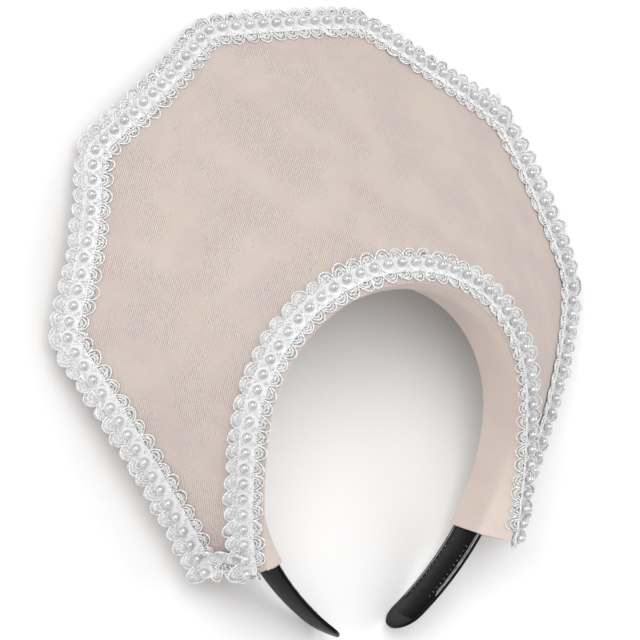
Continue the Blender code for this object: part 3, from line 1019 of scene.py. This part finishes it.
class BraidMaker:
    """Makes one braid's pieces."""

    # How far the whole braid is raised
    rise = 0.0
    # Heights over the board; the loops' own has the braid's rise added, and a loop that stands up
    # lifts in step with its reach, up to this share of the braid's
    loop_height = 0.62 * MM
    loop_limit = 1.3
    cord_height = 1.0 * MM
    # The tape's middle height, the crown over it, how square that is, and its flat underside
    tape_height = 0.85 * MM
    tape_crown = 0.45 * MM
    tape_square = 0.7
    tape_floor = 0.42 * MM
    # Shares of the pitch that the tape runs on past its end pearls, where cut off and where joined
    tape_cut = 0.15
    tape_joined = 0.5
    # Share of a loop's length that reaches out where it stands up, and how much wider it is there
    steep = 0.84
    spread = 0.14
    # Where the net in the loops starts, how far short of their tips it ends, lying and standing,
    # between which lifts in mm that changes, how far under the cords it lies, and its thickness
    net_low = 4.2 * MM
    net_short = 0.9 * MM
    net_full = -0.1 * MM
    net_from = (1.1, 2.4)
    net_under = 0.18 * MM
    net_thick = 0.3 * MM
    # Squares of the net along a scallop and across the braid
    net_cells = 8
    net_rows = 10
    # A loop's cord turns this much further in at its feet, and swells like a wrapped thread; sizes
    # are uneven by this share of the shake, and heights by up to these, in mm
    loop_overturn = 0.25
    swell = 0.09
    size_shake = 0.6
    loop_uneven = (-0.1, 0.25)
    # The cords that edge the tape are this much thicker, and wander this far, in waves this long
    # for each radian
    edge_size = 1.15
    wander = 0.15 * MM
    wander_length = 1.1 * MM
    # Fine threads fan out by these shares of the pitch, and sink from the pearls to the loops' feet,
    # uneven in both
    fan = (-0.42, -0.2, 0.0, 0.2, 0.42)
    fan_uneven = (-0.1, 0.1)
    thread_radius = 0.13 * MM
    thread_start = 0.5 * MM
    thread_short = 0.1 * MM
    thread_height = 1.75 * MM
    thread_drop = 0.75 * MM
    thread_uneven = (-0.1, 0.2)
    # Faces of a pearl round it and from pole to pole, and how uneven the pearls' sizes are
    pearl_faces = (12, 8)
    pearl_uneven = 0.02

    def __init__(self, name, braid, settings):
        self.name = name
        self.braid = braid
        self.settings = settings
        self.dice = random.Random(settings.seed + len(name))

    def stand_off(self, along):
        """How far the tips of the outer loops stand off the board, in mm."""
        return np.interp(self.braid.station(along) / MM, *zip(*LIFT.items()))

    def standing(self, along):
        """How fully the outer loops stand up, from 0 to 1."""
        return np.minimum(1.0, self.stand_off(along) / FULL_LIFT)

    def steepness(self, along):
        """How much of their length the outer loops reach out where they stand up."""
        return 1.0 - (1.0 - self.steep) * self.standing(along)

    def lift(self, along, across):
        """Height of the loops' cords over the board."""
        st = self.settings
        reach = (np.abs(across) - st.tape_half) / (st.loop_reach - st.tape_half)
        raised = self.stand_off(along) * MM * np.clip(reach, 0.0, self.loop_limit)
        return self.rise + self.loop_height + np.where(across > 0, raised, 0.0)

    def span(self, beyond):
        """The braid's first and last place, a share of the pitch beyond its end pearls."""
        first = self.braid.marks[0] - self.braid.pitch[0] * beyond
        return first, self.braid.marks[-1] + self.braid.pitch[-1] * beyond

    def ground(self, net):
        """The scalloped ground that fills the loops."""
        st = self.settings
        cells, low = self.net_cells, self.net_low
        count = len(self.braid.marks)
        part = np.linspace(-0.5, 0.5, cells + 1)[:-1]
        along = (self.braid.marks[:, None] + self.braid.pitch[:, None] * part).ravel()
        along = np.append(along, self.span(0.5)[1])
        phase = np.append(np.tile(part, count), 0.5)
        bow = np.sqrt(np.maximum(0.0, 1 - (2 * phase) ** 2))
        inner = low + (st.loop_reach - self.net_short - low) * bow
        if self.braid.bare_ends:
            inner[:cells] = low
            inner[-cells - 1:] = low
        short = np.interp(self.stand_off(along), self.net_from, (self.net_short, self.net_full))
        high = st.tape_half + (st.loop_reach - st.tape_half) * self.steepness(along) - short
        outer = low + (high - low) * bow

        def row_of(a):
            """Rows of the net for grid places from 0 to 1."""
            return np.rint(a * (len(along) - 1)).astype(int)

        def place(a, b):
            here = along[row_of(a)]
            across = (2 * b - 1) * np.where(b > 0.5, outer[row_of(a)], inner[row_of(a)])
            return self.braid.place(here, across, self.lift(here, across) - self.net_under)

        def flat(a, b):
            here = along[row_of(a)]
            return np.stack([here, np.where(b > 0.5, self.standing(here), 0.0) * MM], axis=1)

        bm = shaped_grid(len(along) - 1, self.net_rows, place, flat)
        start = self.braid.place(along[[0, 0]], np.zeros(2), np.array([0.0, MM]))
        face_towards(bm, Vector(start[1] - start[0]), count=5 * cells)
        piece = piece_from(self.name + "_ground", bm, net, 60.0)
        thicken(piece, self.net_thick)
        return piece

    def tape(self, satin):
        """The white middle tape, crowned, with ribs across."""
        first, last = self.span(self.tape_cut if self.braid.bare_ends else self.tape_joined)

        def place(a, b):
            angle = math.tau * b
            across = -self.settings.tape_half * np.cos(angle)
            crown = self.tape_crown * np.abs(np.sin(angle)) ** self.tape_square * np.sign(np.sin(angle))
            height = np.maximum(self.tape_height + crown, self.tape_floor)
            return self.braid.place(first + (last - first) * a, across, height)

        def flat(a, b):
            return np.stack([first + (last - first) * a, b * MM], axis=1)

        bm = shaped_grid(8 * len(self.braid.marks), 14, place, flat)
        close_up(bm)
        return piece_from(self.name + "_tape", bm, satin, 60.0)

    def cords(self, finish):
        """The loops on both sides and the two cords that edge the tape."""
        st = self.settings
        curve = empty_cords(self.name + "_cords", st.cord_radius)
        ends = (self.braid.marks[0], self.braid.marks[-1])
        for mark, pitch in zip(self.braid.marks, self.braid.pitch):
            for side in (-1.0, 1.0):
                if self.braid.bare_ends and side < 0 and mark in ends:
                    continue
                lean = self.dice.gauss(0, 1) * st.shake
                steep = 1.0 if side < 0 else self.steepness(mark)
                wide = 1.0 if side < 0 else 1.0 + self.spread * self.standing(mark)
                for reach, width, points in LOOPS:
                    size = 1 + self.dice.gauss(0, 1) * st.shake * self.size_shake
                    angle = np.linspace(-self.loop_overturn, math.pi + self.loop_overturn, points)
                    tall = (st.loop_reach * reach - st.tape_half) * size
                    across = side * (st.tape_half + tall * steep * np.sin(angle))
                    along = mark + pitch * width * wide * np.cos(angle) + lean * tall * np.sin(angle)
                    height = self.lift(along, across) + self.dice.uniform(*self.loop_uneven) * MM
                    add_cord(curve, self.braid.place(along, across, height), 1.0, self.swell)
        along = np.linspace(*self.span(0.5), 9 * len(self.braid.marks))
        height = np.full(len(along), self.cord_height)
        for side in (-1.0, 1.0):
            across = side * st.tape_half + self.wander * np.sin(along / self.wander_length)
            add_cord(curve, self.braid.place(along, across, height), self.edge_size, self.swell)
        return cords_of(curve, finish)

    def threads(self, finish):
        """Fine threads from between the pearls out to the feet of the loops."""
        curve = empty_cords(self.name + "_threads", self.thread_radius, 0)
        part = np.linspace(0.0, 1.0, 4)
        length = self.settings.tape_half - self.thread_short
        for mark, pitch in zip(self.braid.marks, self.braid.pitch):
            for side in (-1.0, 1.0):
                for fan in self.fan:
                    end = fan + self.dice.uniform(*self.fan_uneven)
                    across = side * (self.thread_start + length * part)
                    along = mark + pitch * (0.5 + end * part ** 1.5)
                    height = self.thread_height - self.thread_drop * part ** 2
                    height = height + self.dice.uniform(*self.thread_uneven) * MM
                    add_cord(curve, self.braid.place(along, across, height), 1.0, self.swell)
        return cords_of(curve, finish)

    def pearls(self, finish):
        """Round pearls in one row, with their poles along the braid."""
        st = self.settings
        bm = bmesh.new()
        marks = self.braid.marks
        level, height = np.zeros(len(marks)), np.full(len(marks), st.pearl_height)
        middles = self.braid.place(marks, level, height)
        ahead = self.braid.place(marks + MM, level, height)
        around, down = self.pearl_faces
        for middle, after in zip(middles, ahead):
            turn = Vector(after - middle).to_track_quat("Z", "Y").to_matrix().to_4x4()
            bmesh.ops.create_uvsphere(
                bm, u_segments=around, v_segments=down,
                radius=st.pearl_radius * (1 + self.pearl_uneven * self.dice.gauss(0, 1)),
                matrix=Matrix.Translation(Vector(middle)) @ turn)
        return piece_from(self.name + "_pearls", bm, finish, 80.0)


class CROWN_OT_braids(bpy.types.Operator):
    """Make both pearl braids and the short ends that join them at the feet"""
    bl_idname = "crown.braids"
    bl_label = "Pearl braids"
    bl_options = {"REGISTER", "UNDO"}

    # The short ends: how far above the board's end, how bowed, how much raised, their scallops
    foot_rise = 5.4 * MM
    foot_bow = 1.2 * MM
    foot_lift = 0.35 * MM
    foot_scallops = 3

    def execute(self, context):
        settings = context.scene.crown_braid
        outer, arch = outline_path(), arch_path()
        net, satin, cord, pearl = net_ground(), satin_tape(), silver_cord(), pearl_shell()
        braids = {
            "outer_braid": Braid(outer, outline_marks(outer)),
            "arch_braid": ArchBraid(arch, self.even_marks(arch, ARCH_PEARLS)),
        }
        for name, braid in braids.items():
            maker = BraidMaker(name, braid, settings)
            pieces = (maker.ground(net), maker.tape(satin), maker.cords(cord), maker.threads(cord),
                      maker.pearls(pearl))
            for piece in pieces:
                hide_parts(name)
        for name, side in (("left_foot", 1.0), ("right_foot", -1.0)):
            maker = BraidMaker(name, self.foot(side), settings)
            maker.rise = self.foot_lift
            for piece in (maker.ground(net), maker.cords(cord)):
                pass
        return {"FINISHED"}

    def even_marks(self, path, count):
        """Distances along a path of the middles of equal steps."""
        return (np.arange(count) + 0.5) * distances(path)[-1] / count

    def foot(self, side):
        """The short end of braid along the bottom of a foot, from one braid to the other."""
        part = np.linspace(1.0, 0.0, 40)
        s = ARCH_HALF - self.foot_rise - self.foot_bow * np.sin(math.pi * part)
        path = BOARD.flat(side * s, OUTLINE["foot"][1] * part)
        path = evenly(path[::-1] if side > 0 else path, 60)
        return Braid(path, self.even_marks(path, self.foot_scallops))


class CROWN_OT_stage(bpy.types.Operator):
    """Make the floor, the lights and the camera"""
    bl_idname = "crown.stage"
    bl_label = "Stage"
    bl_options = {"REGISTER", "UNDO"}

    floor_half = 6.0
    # The room's brightness from the walls up to the ceiling, and between which rises it changes
    walls = 0.52
    ceiling = 0.66
    rises = (0.15, 0.75)
    # Round soft lights that look at the frame's origin: place, width and power
    lights = {
        "front": ((-0.87, 0.63, 2.13), 2.0, 26.0),
        "key": ((-0.92, 0.40, 1.11), 0.50, 1.6),
        "fill": ((1.2, 0.1, 1.0), 1.0, 4.6),
        "low": ((-1.4, -0.35, 0.40), 0.8, 1.8),
    }
    sight = 20.0

    def execute(self, context):
        settings = context.scene.crown_stage
        self.make_floor(settings)
        self.make_lights(context)
        self.make_camera(context, settings)
        context.scene.view_settings.view_transform = "Standard"
        return {"FINISHED"}

    def make_floor(self, settings):
        bm = bmesh.new()
        bmesh.ops.create_grid(bm, x_segments=4, y_segments=4, size=self.floor_half)
        floor = piece_from("floor", bm, floor_finish(settings.floor_colour))

    def make_lights(self, context):
        """A bright ceiling over dimmer walls, and the soft lights."""
        world = bpy.data.worlds.new("studio")
        world.use_nodes = True
        tree = world.node_tree
        place = tree.nodes.new("ShaderNodeTexCoord")
        split = tree.nodes.new("ShaderNodeSeparateXYZ")
        rise = tree.nodes.new("ShaderNodeMapRange")
        rise.interpolation_type = "SMOOTHSTEP"
        numbers = (*self.rises, self.walls, self.ceiling)
        for socket, number in zip(("From Min", "From Max", "To Min", "To Max"), numbers):
            rise.inputs[socket].default_value = number
        tree.links.new(place.outputs["Generated"], split.inputs["Vector"])
        tree.links.new(split.outputs["Z"], rise.inputs["Value"])
        tree.links.new(rise.outputs["Result"], tree.nodes["Background"].inputs["Strength"])
        tree.nodes["Background"].inputs["Color"].default_value = (1.0, 1.0, 1.0, 1.0)
        context.scene.world = world
        for name, (way, size, power) in self.lights.items():
            light = bpy.data.lights.new(name, "AREA")
            light.shape = "DISK"
            light.size = size
            light.energy = power
            lamp = bpy.data.objects.new(name, light)
            context.scene.collection.objects.link(lamp)
            lamp.location = way
            lamp.rotation_euler = Vector(way).to_track_quat("Z", "Y").to_euler()

    def make_camera(self, context, st):
        """The photo's view: the arch's top pearl stays at its place in the picture."""
        back = Vector((
            math.sin(st.azimuth) * math.cos(st.elevation),
            -math.cos(st.azimuth) * math.cos(st.elevation),
            math.sin(st.elevation)))
        right = Vector((math.cos(st.azimuth), math.sin(st.azimuth), 0.0))
        up = back.cross(right)
        picture_right = right * math.cos(st.roll) - up * math.sin(st.roll)
        picture_up = right * math.sin(st.roll) + up * math.cos(st.roll)
        turn = Matrix.Rotation(-REST_TILT, 3, "X")
        axes = Matrix((turn @ picture_right, turn @ picture_up, turn @ back)).transposed()
        data = bpy.data.cameras.new("camera")
        data.sensor_width = SENSOR
        data.lens = st.scale * st.distance * SENSOR / PICTURE
        data.shift_x = (PICTURE / 2 - st.top_pearl[0]) / PICTURE
        data.shift_y = (st.top_pearl[1] - PICTURE / 2) / PICTURE
        data.clip_end = self.sight
        camera = bpy.data.objects.new("camera", data)
        context.scene.collection.objects.link(camera)
        camera.matrix_world = Matrix.Translation(
            REST_SHIFT + turn @ back * st.distance) @ axes.to_4x4()
        context.scene.camera = camera


class CROWN_PT_panel(bpy.types.Panel):
    """The crown's buttons"""
    bl_idname = "CROWN_PT_panel"
    bl_label = "Crown headpiece"
    bl_space_type = "VIEW_3D"
    bl_region_type = "UI"
    bl_category = "Crown"

    def draw(self, context):
        for operator in OPERATORS:
            self.layout.operator(operator.bl_idname)


SETTINGS = {
    "crown_fabric": FabricSettings,
    "crown_braid": BraidSettings,
    "crown_stage": StageSettings,
}
OPERATORS = (CROWN_OT_board, CROWN_OT_sleeve, CROWN_OT_headband, CROWN_OT_braids, CROWN_OT_stage)


def register():
    for name, group in SETTINGS.items():
        bpy.utils.register_class(group)
        setattr(bpy.types.Scene, name, PointerProperty(type=group))
    for kind in (*OPERATORS, CROWN_PT_panel):
        bpy.utils.register_class(kind)


def unregister():
    for kind in reversed((*OPERATORS, CROWN_PT_panel)):
        bpy.utils.unregister_class(kind)
    for name, group in reversed(SETTINGS.items()):
        delattr(bpy.types.Scene, name)
        bpy.utils.unregister_class(group)


def main():
    register()
    bpy.ops.crown.board()
    bpy.ops.crown.sleeve()
    bpy.ops.crown.headband()
    bpy.ops.crown.braids()
    bpy.ops.crown.stage()


if __name__ == "__main__":
    main()
